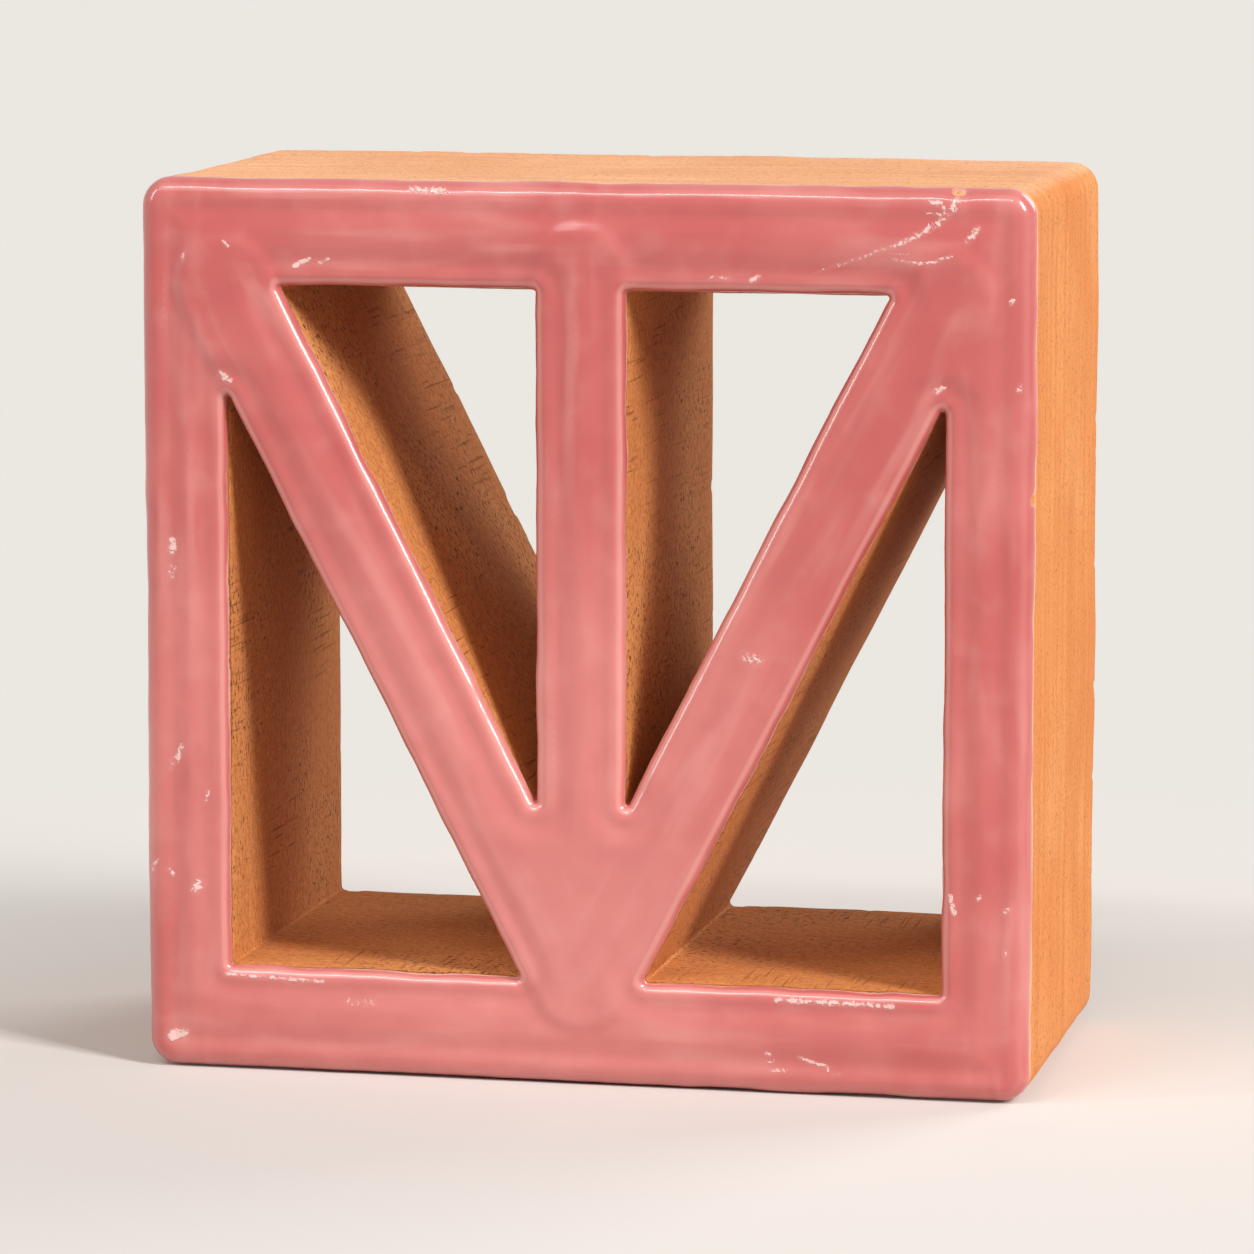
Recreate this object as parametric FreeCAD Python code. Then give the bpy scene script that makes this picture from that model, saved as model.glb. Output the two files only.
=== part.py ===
"""Glazed terracotta screen block, a square unit pierced by a fan of three bars.

Millimetres, +Z up. X runs across the face, and the glazed face looks along -Y.
The origin is the middle of the underside, which is the face that the block stands on.
The block is fired in one piece, so it is one solid: a frame, an upright bar and two
slanted bars, all as deep as the block.
"""

import FreeCAD
import Part
import math
import os

# Outer size of the block
WIDTH = 200.0
HEIGHT = 200.0
DEPTH = 100.0

# Bars, measured across the glazed face
JAMB = 20.0
HEAD = 24.0
SILL = 24.0
MULLION = 20.0
STRUT = 21.0

# Height at which the middle lines of the two slanted bars meet, above the underside
FAN_APEX = 19.0

# Rounded edges that run through the depth
CORNER_RADIUS = 6.5
OPENING_RADIUS = 1.2

# Glaze-softened edges of the front face, and the worn edges of the back face
RIM_RADIUS = 5.0
LIP_RADIUS = 2.5
BACK_ARRIS = 0.8

FRONT_Y = -DEPTH / 2
BACK_Y = DEPTH / 2
NODE = "screen_block"
PLANE_TOLERANCE = 1e-6


def point(x, z):
    """A point of the front face."""
    return FreeCAD.Vector(x, FRONT_Y, z)


def along_depth(corners):
    """A prism as deep as the block, on an outline of (x, z) corners."""
    outline = [point(x, z) for x, z in corners]
    face = Part.Face(Part.makePolygon(outline + outline[:1]))
    return face.extrude(FreeCAD.Vector(0, DEPTH, 0))


def depth_edges(solid):
    """The straight edges of a prism that run through its whole depth."""
    through = []
    for edge in solid.Edges:
        first, last = (vertex.Point for vertex in edge.Vertexes)
        if abs(abs(first.y - last.y) - DEPTH) < PLANE_TOLERANCE:
            through.append(edge)
    return through


def strut_edges():
    """Each edge of the left slanted bar as (x where z is 0, rise of z for each unit of x).

    The bar's middle line runs from the frame's inner top corner down to the fan's apex.
    """
    run = WIDTH / 2 - JAMB
    fall = HEIGHT - HEAD - FAN_APEX
    slope = -fall / run
    half_across = STRUT / 2 * math.hypot(run, fall) / fall
    middle = -FAN_APEX / slope
    return (middle - half_across, slope), (middle + half_across, slope)


def opening_corners():
    """Outlines of the two left openings: the upper one by the mullion, the lower one by the jamb."""
    (under_x, slope), (over_x, _) = strut_edges()
    jamb_x = JAMB - WIDTH / 2
    mullion_x = -MULLION / 2
    head_z = HEIGHT - HEAD
    upper = [
        (over_x + head_z / slope, head_z),
        (mullion_x, head_z),
        (mullion_x, (mullion_x - over_x) * slope),
    ]
    lower = [
        (jamb_x, SILL),
        (under_x + SILL / slope, SILL),
        (jamb_x, (jamb_x - under_x) * slope),
    ]
    return upper, lower


def mirrored(corners):
    """The same outline on the other side of the block's middle."""
    return [(-x, z) for x, z in reversed(corners)]


def opening(corners):
    """The solid that one opening takes out of the block."""
    prism = along_depth(corners)
    return prism.makeFillet(OPENING_RADIUS, depth_edges(prism))


def envelope():
    """The block before it is pierced, with its four long edges rounded."""
    half = WIDTH / 2
    prism = along_depth([(-half, 0), (half, 0), (half, HEIGHT), (-half, HEIGHT)])
    return prism.makeFillet(CORNER_RADIUS, depth_edges(prism))


def rim_wires(solid, y):
    """The outer edges and the openings' edges of the flat face that lies at y."""
    for face in solid.Faces:
        box = face.BoundBox
        if abs(box.YMin - y) < PLANE_TOLERANCE and abs(box.YMax - y) < PLANE_TOLERANCE:
            outer = face.OuterWire
            inner = [edge for wire in face.Wires if not wire.isSame(outer) for edge in wire.Edges]
            return outer.Edges, inner
    raise ValueError("the block has no flat face at y = %g" % y)


def screen_block():
    """The pierced block with its soft front edges and its worn back edges."""
    block = envelope()
    for corners in opening_corners():
        block = block.cut(opening(corners))
        block = block.cut(opening(mirrored(corners)))
    block = block.makeFillet(RIM_RADIUS, rim_wires(block, FRONT_Y)[0])
    block = block.makeFillet(LIP_RADIUS, rim_wires(block, FRONT_Y)[1])
    outer, inner = rim_wires(block, BACK_Y)
    return block.makeChamfer(BACK_ARRIS, outer + inner)


def main():
    block = screen_block()
    solid = block.Solids[0]
    os.makedirs("parts", exist_ok=True)
    solid.exportStep(os.path.join("parts", NODE + ".step"))
    print(NODE, "valid", solid.isValid(), "solids", len(block.Solids), "faces", len(solid.Faces))
    print("volume %.0f mm3, box %s" % (solid.Volume, solid.BoundBox))
    for name, corners in zip(("upper", "lower"), opening_corners()):
        print(name, "opening", [(round(x, 2), round(z, 2)) for x, z in corners])


main()
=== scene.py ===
"""Looks of the glazed terracotta screen block: its clay, its coat of pink glaze, light and camera.

Metres, +Z up, the glazed face towards -Y. The block's mesh is laid out from the same bars as the solid,
dense enough for the glaze to swell, pool and ripple, and for the clay to wander and chip.
"""

import math
from functools import partial

import bpy
import numpy as np
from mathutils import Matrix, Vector
from mathutils.geometry import delaunay_2d_cdt


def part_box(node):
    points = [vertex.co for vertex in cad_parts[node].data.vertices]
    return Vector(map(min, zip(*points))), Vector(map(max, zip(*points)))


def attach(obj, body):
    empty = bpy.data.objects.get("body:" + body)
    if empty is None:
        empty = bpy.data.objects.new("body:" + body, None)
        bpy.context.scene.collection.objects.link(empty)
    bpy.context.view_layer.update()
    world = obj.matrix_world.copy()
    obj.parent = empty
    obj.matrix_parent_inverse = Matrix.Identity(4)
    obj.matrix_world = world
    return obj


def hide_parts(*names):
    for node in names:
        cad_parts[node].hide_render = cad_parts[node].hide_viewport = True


MM = 0.001

# Kinds of node and settings that come back often
MATH, NOISE, RANGE = "ShaderNodeMath", "ShaderNodeTexNoise", "ShaderNodeMapRange"
MIX, MAPPING, SPLIT = "ShaderNodeMix", "ShaderNodeMapping", "ShaderNodeSeparateXYZ"
SMOOTH = {"interpolation_type": "SMOOTHSTEP"}
COLOURS, NUMBERS = {"data_type": "RGBA"}, {"data_type": "FLOAT"}
ADD, TIMES, TIMES_ADD = {"operation": "ADD"}, {"operation": "MULTIPLY"}, {"operation": "MULTIPLY_ADD"}
ALONG = {"vector_type": "TEXTURE"}

# Bars and rounded edges of the block, as in the solid
JAMB = 20 * MM
HEAD = 24 * MM
SILL = 24 * MM
MULLION = 20 * MM
STRUT = 21 * MM
FAN_APEX = 19 * MM
CORNER_RADIUS = 6.5 * MM
OPENING_RADIUS = 0.45 * MM
RIM_RADIUS = 5.0 * MM
BACK_ARRIS = 0.8 * MM

# Lip round each opening: across the face, through the depth, and how flat it is between its two shoulders
LIP_WIDTH = 3.0 * MM
LIP_DEPTH = 2.6 * MM
LIP_FLATNESS = 1.1

# Spacing of the mesh. The faces' inner points keep off the outlines by a share of their pitch.
FRONT_PITCH = 1.1 * MM
BACK_PITCH = 4.0 * MM
ALONG_PITCH = 1.6 * MM
DEEP_PITCH = 2.8 * MM
FINE_PITCH = 0.7 * MM
FINE_BAND = 6.0 * MM
ARC_STEPS = 9
ROUNDING_PITCH, ROUNDING_STEPS = 0.5 * MM, 7
OFF_OUTLINE = 0.55

# How far short of the rounding's end the glaze stops, on the rim and on the lips
RIM_BARE = 0.45 * MM
LIP_BARE = 0.2 * MM

# Room for the relief: what the clay stays inside the block's box, and the glaze behind its front
CLAY_ROOM = 0.42 * MM
GLAZE_ROOM = 2.1 * MM

# How much the cut back face looks like the clay within the openings
BACK_LIKENESS = 0.6

# Thicker glaze on the fan: where it ends at the foot, how far past the bars it spreads, and its soft edge
FOOT_Z, FAN_SPREAD, FAN_EDGE = 24 * MM, 2.5 * MM, 4.0 * MM

# The same on the mullion: where it starts, and how far it runs on over the head
POOL_START, POOL_OVER_HEAD = 50 * MM, 4 * MM

# A brush stroke in the glaze: across, through and along, how far it reaches from a bar's middle line, and the
# height at which the mullion's own strokes start
STROKE_SIZE = (6 * MM, 6 * MM, 48 * MM)
BRUSH_REACH, BRUSH_START = 7 * MM, 60 * MM

# Chips in the glaze along the rim: x, y, z and radius in millimetres, and how far they push back its edge
GLAZE_CHIPS = (
    (83, -46.4, 198.6, 1.2),
    (99.3, -44.8, 133, 0.9),
)
CHIP_REACH = 7.0 * MM

# Curved marks where the glaze crawled, raised and painted pale as highlights, as points along each: x, z and
# half width in millimetres, and strength
CRAWL_CURVES = (
    (
        (52, 181.2, 0.7, 0.5), (58, 183.2, 0.8, 0.6), (64, 185.3, 0.8, 0.66), (70, 187.5, 0.9, 0.72),
        (75, 189.8, 1.1, 0.8), (79, 192.4, 1.2, 0.78), (81.6, 194.8, 1.4, 0.84), (82.6, 197, 1.3, 0.84),
    ),
    ((76.5, 196.9, 0.8, 0.76), (79.6, 196.2, 1.1, 0.84)),
    ((69, 184.4, 0.6, 0.62), (73, 183.6, 0.7, 0.7), (78, 183.8, 0.7, 0.74), (82, 185.4, 0.7, 0.7)),
    ((85.4, 188.6, 1.0, 0.82), (87.4, 191.2, 1.1, 0.84)),
)

# Short straight marks, raised and painted pale as highlights, some along lips and the rim where highlights
# fall:
# x, z, half length, angle, half width in millimetres and degrees, strength
CRAWL_SPOTS = (
    (94.8, 175.5, 1.2, 60, 0.8, 0.9),
    (96.6, 157, 1.4, 80, 0.9, 0.9),
    (79.5, 156.4, 1.8, 20, 1.0, 0.85),
    (38.8, 179.6, 1.8, 30, 0.9, 0.95),
    (31, 179.6, 3, 0, 0.8, 0.7),
    (-34, 197.6, 5, -3, 1.2, 0.85),
    (-79.4, 185.4, 1.4, -45, 0.7, 0.9),
    (-62.5, 181.4, 2.6, 22, 0.8, 0.95),
    (-57.5, 181.8, 1.8, 25, 0.8, 0.75),
    (-80, 156, 2.2, -40, 1.2, 0.9),
    (-92.6, 118, 2.4, 85, 1.4, 1.0),
    (-92.8, 112, 2.2, 80, 1.3, 0.74),
    (-91.5, 71.4, 2.6, 70, 0.9, 0.9),
    (-93.4, 69, 2, 80, 0.8, 0.7),
    (-85.2, 62, 2, 75, 0.7, 0.75),
    (-97.4, 46, 2, 70, 0.8, 0.75),
    (-93.8, 44.6, 1.6, -60, 0.8, 0.75),
    (-87.5, 41.6, 2.2, 50, 1.6, 0.95),
    (-92.5, 7.6, 3.4, 12, 1.9, 1.0),
    (-49.8, 16.8, 4.5, 0, 1.4, 0.62),
    (38.5, 97, 3.6, -18, 2.0, 0.76),
    (82.8, 44.2, 2.8, -75, 0.8, 0.95),
    (88.9, 46, 1.2, 50, 0.8, 0.85),
    (95, 43.3, 1.4, 30, 0.9, 0.8),
    (94.6, 33.7, 1.4, 90, 0.8, 0.72),
    (57, 21.2, 14, -1, 0.9, 0.86),
    (42.3, 9.3, 0.9, 0, 0.8, 0.95),
    (52.5, 7.7, 4.2, -18, 0.7, 0.9),
    (44.5, 5.7, 2.5, 0, 0.8, 0.66),
    (57.4, 5.3, 1.4, 0, 0.8, 0.72),
    (-70, 21.4, 12, -2, 0.7, 0.78),
)

# How far past its half width a mark is still felt, and the least half length of its middle line, in mm
CRAWL_REACH = 1.4 * MM
SHORTEST_MARK = 0.2

# Patterns in the clay, along a wall and through its depth, and those without a direction
DRAG_SIZE = (90 * MM, 4.0 * MM, 1)
GRAIN_SIZE = (2.0 * MM, 1.4 * MM, 1)
PIT_SIZE = (1.6 * MM, 0.9 * MM, 1)
SCORE_SIZE = (0.8 * MM, 24 * MM, 1)
GRIT_SIZE = 0.8 * MM

# How high or deep those patterns are: drag lines outside and within the openings, grain, grit, pits, scores
DRAG_OUTSIDE, DRAG_WITHIN = 0.09 * MM, 0.04 * MM
GRAIN_HEIGHT, GRIT_HEIGHT = 0.17 * MM, 0.10 * MM
PIT_DEPTH, SCORE_DEPTH = 0.6 * MM, 0.3 * MM

# Patterns in the glaze: crumbs that break up a crawled mark, and rags along the glaze's edge
CRUMB_SIZE, CRUMB_SHARE, FLECK_HEIGHT = 0.9 * MM, 1.5, 0.14 * MM
RAG_SIZE, RAG_REACH = 1.8 * MM, 1.0 * MM

# Along the glaze's ragged edge: where it ends and thins out, where slip is left outside, and where the clay
# within the openings is darker
COAT_ENDS, COAT_THINS = (0.65 * MM, 0.35 * MM), (-0.7 * MM, 0.3 * MM)
SLIP_BAND, DARK_LINE_BAND = (2.2 * MM, 0.4 * MM), (1.6 * MM, 0.6 * MM)

# Where the fine relief turns from the clay's to the glaze's, before the edge is made ragged
BUMP_ENDS = (0.2 * MM, -0.2 * MM)

# Heights between which the glaze takes the colour of the head, of the paler lower part and of the fan's foot,
# then the middle of the paler part, left of the block's own, and how far from there it fades
HEAD_BAND, LOW_BAND, FOOT_BAND = (70 * MM, 185 * MM), (150 * MM, 90 * MM), (70 * MM, 30 * MM)
LOW_MIDDLE, LOW_FADE = -25 * MM, (100 * MM, 30 * MM)

# Colours of the clay: outer faces, painted light on the top face, openings, painted shade in scores, firing
# clouds, specks, painted shade in pits, glaze edge
OUTER_DARK, OUTER_LIGHT, PAINTED_TOP_LIGHT = "#ba6932", "#df9555", "#f0c29e"
INNER_DARK, INNER_LIGHT, SCORE_SHADE = "#b46535", "#e09a5a", "#7a3f1c"
CLOUD_DARK, CLOUD_LIGHT = "#b8652f", "#e5a66c"
SPECK_DARK, PIT_SHADE = "#82461f", "#4b220c"
EDGE_SLIP, EDGE_DARK_LINE = "#ecc39a", "#6b3418"

# Colours of the glaze: body, head, paler lower part, the fan's foot, brush streaks, mottle, painted sheen and
# highlights on crawled marks, painted highlight on crests, thin places
ROSE_DEEP, ROSE_PALE = "#bf5b58", "#cb6f6a"
HEAD_ROSE, LOW_ROSE, FOOT_ROSE = "#bb5858", "#da8882", "#e29c95"
STREAK_PALE, STREAK_DEEP = "#e19d95", "#b65656"
MOTTLE_PALE, MOTTLE_DEEP = "#e6a79d", "#b55353"
# The crawled marks' veil is a painted sheen, and their flecks are painted highlights
CRAWL_SHEEN, CRAWL_GLINT = "#eebdb2", "#f6dcd4"
# A crest is painted pale as a highlight; thin glaze breaks pale
CREST_HIGHLIGHT, EDGE_PALE = "#f0b5a9", "#eeb9a2"

# Matt clay and glassy glaze: roughness of each, share and roughness of the clear coat, and how both mirror
CLAY_ROUGHNESS, GLAZE_ROUGHNESS = 0.9, 0.3
COAT_SHARE, COAT_ROUGHNESS, GLASS_IOR, SOFT_SHINE = 0.75, 0.12, 1.5, 0.2

# Floor and background: the colour seen behind the block, the floor's own, its size and where it has faded
PALE, FLOOR_TONE = "#ebe7e1", "#dad4cf"
FLOOR_SIZE, FADE_END = 40.0, 0.55

# Light: an even fill, and lamps with azimuth and elevation in degrees, width and height, and power in watts
FILL, FILL_TONE = 0.13, "#fff6ec"
LAMP_DISTANCE = 12.0
LAMPS = (
    ("key", 60, 35, (2.2, 6.0), 1400),
    ("overhead strip", -12, 52, (8.0, 0.6), 390),
    ("front fill", -35, 44, (6.0, 4.0), 200),
    ("back fill", 140, 28, (7.0, 7.0), 800),
    ("left strip", -62, 22, (1.4, 6.0), 310),
)

# Camera: where it stands, what share of the block's height it aims at, and frame width in block widths
VIEW_AZIMUTH, VIEW_ELEVATION, VIEW_DISTANCE = 12.4, 8.0, 1.4
AIM_SHARE, FRAME_SHARE, SENSOR = 0.48, 1.42, 36.0

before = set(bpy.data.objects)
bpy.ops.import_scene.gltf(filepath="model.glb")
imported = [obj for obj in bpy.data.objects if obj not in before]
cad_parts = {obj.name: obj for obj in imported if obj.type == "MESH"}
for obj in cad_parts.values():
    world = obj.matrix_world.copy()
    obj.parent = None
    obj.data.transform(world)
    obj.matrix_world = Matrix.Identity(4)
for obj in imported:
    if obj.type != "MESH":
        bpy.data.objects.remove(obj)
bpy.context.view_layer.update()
LOW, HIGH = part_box("screen_block")
WIDTH, HEIGHT = HIGH.x - LOW.x, HIGH.z - LOW.z
FRONT_Y, BACK_Y = LOW.y + GLAZE_ROOM, HIGH.y
DEPTH = BACK_Y - FRONT_Y


def linear(hex_colour):
    """An sRGB hex value as linear red, green, blue and full alpha."""
    parts = [int(hex_colour[i:i + 2], 16) / 255 for i in (1, 3, 5)]
    return [c / 12.92 if c <= 0.04045 else ((c + 0.055) / 1.055) ** 2.4 for c in parts] + [1.0]


def add(tree, kind, inputs=None, output=0, **settings):
    """Adds a node with its settings, sets or links its inputs, and gives one of its outputs."""
    made = tree.nodes.new(kind)
    for name, value in settings.items():
        setattr(made, name, value)
    for key, value in (inputs or {}).items():
        if isinstance(value, bpy.types.NodeSocket):
            tree.links.new(value, made.inputs[key])
        elif isinstance(value, str) and value.startswith("#"):
            made.inputs[key].default_value = linear(value)
        else:
            made.inputs[key].default_value = value
    return None if output is None else made.outputs[output]


# Outlines of the block and its openings


def corner_arc(before, corner, after, radius):
    """The points of one rounded corner, and the way out of the outline at each."""
    come = (corner - before) / np.linalg.norm(corner - before)
    leave = (after - corner) / np.linalg.norm(after - corner)
    turn = math.acos(np.clip(come @ leave, -1, 1))
    out = np.array([come[1], -come[0]])
    centre = corner - come * radius * math.tan(turn / 2) - out * radius
    first = math.atan2(out[1], out[0])
    angles = [first + turn * step / ARC_STEPS for step in range(ARC_STEPS + 1)]
    ways = [np.array([math.cos(angle), math.sin(angle)]) for angle in angles]
    return [centre + way * radius for way in ways], ways


class Loop:
    """A rounded outline: its points, the way into the clay at each, and the length run so far."""

    def __init__(self, corners, radius, into_clay):
        corners = [np.array(c, float) for c in corners]
        turns = zip(corners[-1:] + corners[:-1], corners, corners[1:] + corners[:1])
        arcs = [corner_arc(*three, radius) for three in turns]
        points, ways = [], []
        for (arc, arc_ways), (next_arc, _) in zip(arcs, arcs[1:] + arcs[:1]):
            begin, end = arc[-1], next_arc[0]
            steps = max(1, round(np.linalg.norm(end - begin) / ALONG_PITCH))
            points += arc + [begin + (end - begin) * step / steps for step in range(1, steps)]
            ways += arc_ways + arc_ways[-1:] * (steps - 1)
        self.points = np.array(points)
        self.into_clay = np.array(ways) * (1 if into_clay else -1)
        gaps = np.linalg.norm(np.roll(self.points, -1, axis=0) - self.points, axis=1)
        self.run = np.concatenate([[0.0], np.cumsum(gaps)])
        self.is_opening = into_clay

    def offset(self, distance):
        """The outline moved into the clay."""
        return self.points + self.into_clay * distance


def opening_corners():
    """The two left openings, upper and lower, each anticlockwise as seen from the front."""
    run = WIDTH / 2 - JAMB
    fall = HEIGHT - HEAD - FAN_APEX
    slope = -fall / run
    half_across = STRUT / 2 * math.hypot(run, fall) / fall
    under_x = -FAN_APEX / slope - half_across
    over_x = -FAN_APEX / slope + half_across
    jamb_x, mullion_x, head_z = JAMB - WIDTH / 2, -MULLION / 2, HEIGHT - HEAD
    upper = [
        (over_x + head_z / slope, head_z),
        (mullion_x, (mullion_x - over_x) * slope),
        (mullion_x, head_z),
    ]
    lower = [
        (jamb_x, (jamb_x - under_x) * slope),
        (jamb_x, SILL),
        (under_x + SILL / slope, SILL),
    ]
    return upper, lower


def strut_tilt():
    """How far the struts lean from upright, in radians."""
    return math.atan2(WIDTH / 2 - JAMB, HEIGHT - HEAD - FAN_APEX)


def block_loops():
    """The block's outer outline, then its four openings."""
    half = WIDTH / 2
    outer = [(-half, 0), (half, 0), (half, HEIGHT), (-half, HEIGHT)]
    loops = [Loop(outer, CORNER_RADIUS, False)]
    for corners in opening_corners():
        other_side = [(-x, z) for x, z in reversed(corners)]
        loops.append(Loop(corners, OPENING_RADIUS, True))
        loops.append(Loop(other_side, OPENING_RADIUS, True))
    return loops


def wall_profile(width, depth, flatness):
    """Stations from front to back, as (way into the clay, depth), and how many lie on the front rounding."""
    stations = []
    arc_steps = max(ROUNDING_STEPS, round(width / ROUNDING_PITCH))
    for step in range(arc_steps + 1):
        angle = math.pi / 2 * step / arc_steps
        inward = width * (1 - math.sin(angle) ** flatness)
        stations.append((inward, depth * (1 - max(0.0, math.cos(angle)) ** flatness)))
    depths = list(np.arange(depth + FINE_PITCH, depth + FINE_BAND, FINE_PITCH))
    last = DEPTH - BACK_ARRIS - 4 * FINE_PITCH
    steps = round((last - depths[-1]) / DEEP_PITCH)
    depths += list(np.linspace(depths[-1], last, steps + 1)[1:])
    depths += [last + FINE_PITCH * i for i in (1, 2, 3, 4)]
    stations += [(0.0, deep) for deep in depths]
    for angle in (math.pi / 6, math.pi / 3, math.pi / 2):
        deeper = DEPTH - BACK_ARRIS + BACK_ARRIS * math.sin(angle)
        stations.append((BACK_ARRIS * (1 - math.cos(angle)), deeper))
    return stations, arc_steps


def distance_to_loops(points, loops_points):
    """The distance of each point to the nearest of several closed outlines."""
    nearest = np.full(len(points), np.inf)
    for outline in loops_points:
        starts, ends = outline, np.roll(outline, -1, axis=0)
        for a, b in zip(starts, ends):
            along = b - a
            share = np.clip((points - a) @ along / (along @ along), 0, 1)
            nearest = np.minimum(nearest, np.linalg.norm(points - a - share[:, None] * along, axis=1))
    return nearest


def inside(points, outline):
    """Which points lie inside a closed outline."""
    x, z = points[:, 0], points[:, 1]
    odd = np.zeros(len(points), bool)
    for (x0, z0), (x1, z1) in zip(outline, np.roll(outline, -1, axis=0)):
        crosses = (z0 > z) != (z1 > z)
        if z0 != z1:
            odd ^= crosses & (x < (x1 - x0) * (z - z0) / (z1 - z0) + x0)
    return odd


def pierced_face(outlines, pitch):
    """Triangles that fill an outline less its openings: the added points, and faces as indices.

    Indices below the outlines' own points count those points in order; the rest are the added ones.
    """
    outer, openings = outlines[0], outlines[1:]
    edge = np.concatenate(outlines)
    low, high = outer.min(0), outer.max(0)
    rows = np.arange(low[1], high[1], pitch * math.sqrt(3) / 2)
    across = np.arange(low[0], high[0], pitch)
    grid = np.array([(x + (pitch / 2 if i % 2 else 0), z) for i, z in enumerate(rows) for x in across])
    keep = inside(grid, outer)
    for outline in openings:
        keep &= ~inside(grid, outline)
    grid = grid[keep]
    grid = grid[distance_to_loops(grid, outlines) > OFF_OUTLINE * pitch]
    edges, first = [], 0
    for outline in outlines:
        count = len(outline)
        edges += [(first + i, first + (i + 1) % count) for i in range(count)]
        first += count
    everything = np.concatenate([edge, grid])
    made = delaunay_2d_cdt([Vector(p) for p in everything], edges, [], 0, 1e-9)
    origin = [sources[0] for sources in made[3]]
    faces = np.array([[origin[i] for i in face] for face in made[2]])
    middle = everything[faces].mean(axis=1)
    keep = inside(middle, outer)
    for outline in openings:
        keep &= ~inside(middle, outline)
    return grid, faces[keep]


class BlockMesh:
    """Collects the block's vertices, faces, and what the glaze and the clay need to know at each."""

    def __init__(self):
        self.places, self.past_edge, self.front_room, self.from_back, self.inner = [], [], [], [], []
        self.faces, self.face_maps = [], []

    def vertices(self, places, past_edge, front_room, from_back, inner=0.0):
        """Adds points with what is known at each, and gives the first one's index."""
        first = sum(len(p) for p in self.places)
        self.places.append(np.asarray(places))
        known = (
            (self.past_edge, past_edge), (self.front_room, front_room), (self.from_back, from_back),
            (self.inner, inner),
        )
        for store, values in known:
            store.append(np.broadcast_to(values, len(places)).astype(float))
        return first

    def finish(self, name):
        """The mesh, with what is known at each point stored in it."""
        mesh = bpy.data.meshes.new(name)
        places = np.concatenate(self.places)
        mesh.from_pydata(places.tolist(), [], self.faces)
        flat = places[:, [0, 2]]
        known = {
            "past_edge": np.concatenate(self.past_edge) + glaze_chips(places),
            "front_room": np.concatenate(self.front_room),
            "from_back": np.concatenate(self.from_back),
            "inner": np.concatenate(self.inner),
            "pooled": fan_build_up(flat),
        }
        for label, values in known.items():
            stored = mesh.attributes.new(label, "FLOAT", "POINT")
            stored.data.foreach_set("value", values.astype(np.float32))
        for label, values in (("brush", brush_ways(flat)), ("crawl", crawl_marks(flat))):
            stored = mesh.attributes.new(label, "FLOAT_VECTOR", "POINT")
            stored.data.foreach_set("vector", values.astype(np.float32).ravel())
        grain = mesh.uv_layers.new(name="clay_grain")
        spread = [value for corners in self.face_maps for corner in corners for value in corner]
        grain.data.foreach_set("uv", spread)
        mesh.polygons.foreach_set("use_smooth", [True] * len(mesh.polygons))
        mesh.update()
        return mesh


def near_segment(points, start, end):
    """The distance of each point to a straight line from start to end."""
    start, along = np.array(start), np.array(end) - np.array(start)
    share = np.clip((points - start) @ along / (along @ along), 0, 1)
    return np.linalg.norm(points - start - share[:, None] * along, axis=1)


def brush_ways(flat):
    """How much each point was brushed upright, along the left strut and along the right strut."""
    side, head_z, foot = WIDTH / 2 - JAMB / 2, HEIGHT - HEAD / 2, (0, FAN_APEX)
    inner = (WIDTH / 2 - JAMB, HEIGHT - HEAD)
    uprights = [near_segment(flat, (x, 0), (x, HEIGHT)) for x in (-side, side)]
    uprights.append(near_segment(flat, (0, BRUSH_START), (0, head_z)))
    levels = [near_segment(flat, (-side, z), (side, z)) for z in (SILL / 2, head_z)]
    left = near_segment(flat, (-inner[0], inner[1]), foot)
    right = near_segment(flat, inner, foot)
    ways = (np.minimum.reduce(uprights), left, right, np.minimum.reduce(levels))
    nearness = [np.exp(-(away / BRUSH_REACH) ** 2) for away in ways]
    total = sum(nearness) + 1e-9
    return np.column_stack([share / total for share in nearness[:3]])


def crawl_strokes():
    """All crawled marks as lines of points: x, z, half width and strength."""
    strokes = [np.array(curve, float) for curve in CRAWL_CURVES]
    for x, z, length, angle, width, strength in CRAWL_SPOTS:
        reach = max(length - width, SHORTEST_MARK)
        dx, dz = reach * math.cos(math.radians(angle)), reach * math.sin(math.radians(angle))
        strokes.append(np.array([(x - dx, z - dz, width, strength), (x + dx, z + dz, width, strength)]))
    return strokes


def across_stroke(points, stroke):
    """Each point's distance from a stroke, and the stroke's half width, strength, across and past there."""
    nearest = np.full(len(points), np.inf)
    found = np.zeros((len(points), 4))
    for i, (start, end) in enumerate(zip(stroke, stroke[1:])):
        length = math.dist(start[:2], end[:2])
        way = (end[:2] - start[:2]) / length
        off = points - start[:2]
        run, across = off @ way, off @ np.array([-way[1], way[0]])
        share = np.clip(run / length, 0, 1)
        width, strength = (start[k] + (end[k] - start[k]) * share for k in (2, 3))
        past = np.maximum(-run, 0) if i == 0 else np.zeros(len(points))
        if i == len(stroke) - 2:
            past = np.maximum(past, run - length)
        away = np.hypot(across, run - share * length)
        near = away < nearest
        found[near] = np.column_stack([width, strength, across, past])[near]
        nearest[near] = away[near]
    return nearest, found.T


def crawl_marks(flat):
    """The nearest crawled mark at each point: how far across it and past its ends, and its strength.

    Both distances are counted in the mark's half widths.
    """
    marks = np.zeros((len(flat), 3))
    nearest = np.full(len(flat), np.inf)
    for stroke in crawl_strokes():
        away, (width, strength, across, past) = across_stroke(flat / MM, stroke)
        beyond = away - width
        near = beyond < nearest
        felt = np.where(beyond * MM < CRAWL_REACH, strength, 0.0)
        marks[near] = np.column_stack([across / width, past / width, felt])[near]
        nearest[near] = beyond[near]
    return marks


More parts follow.
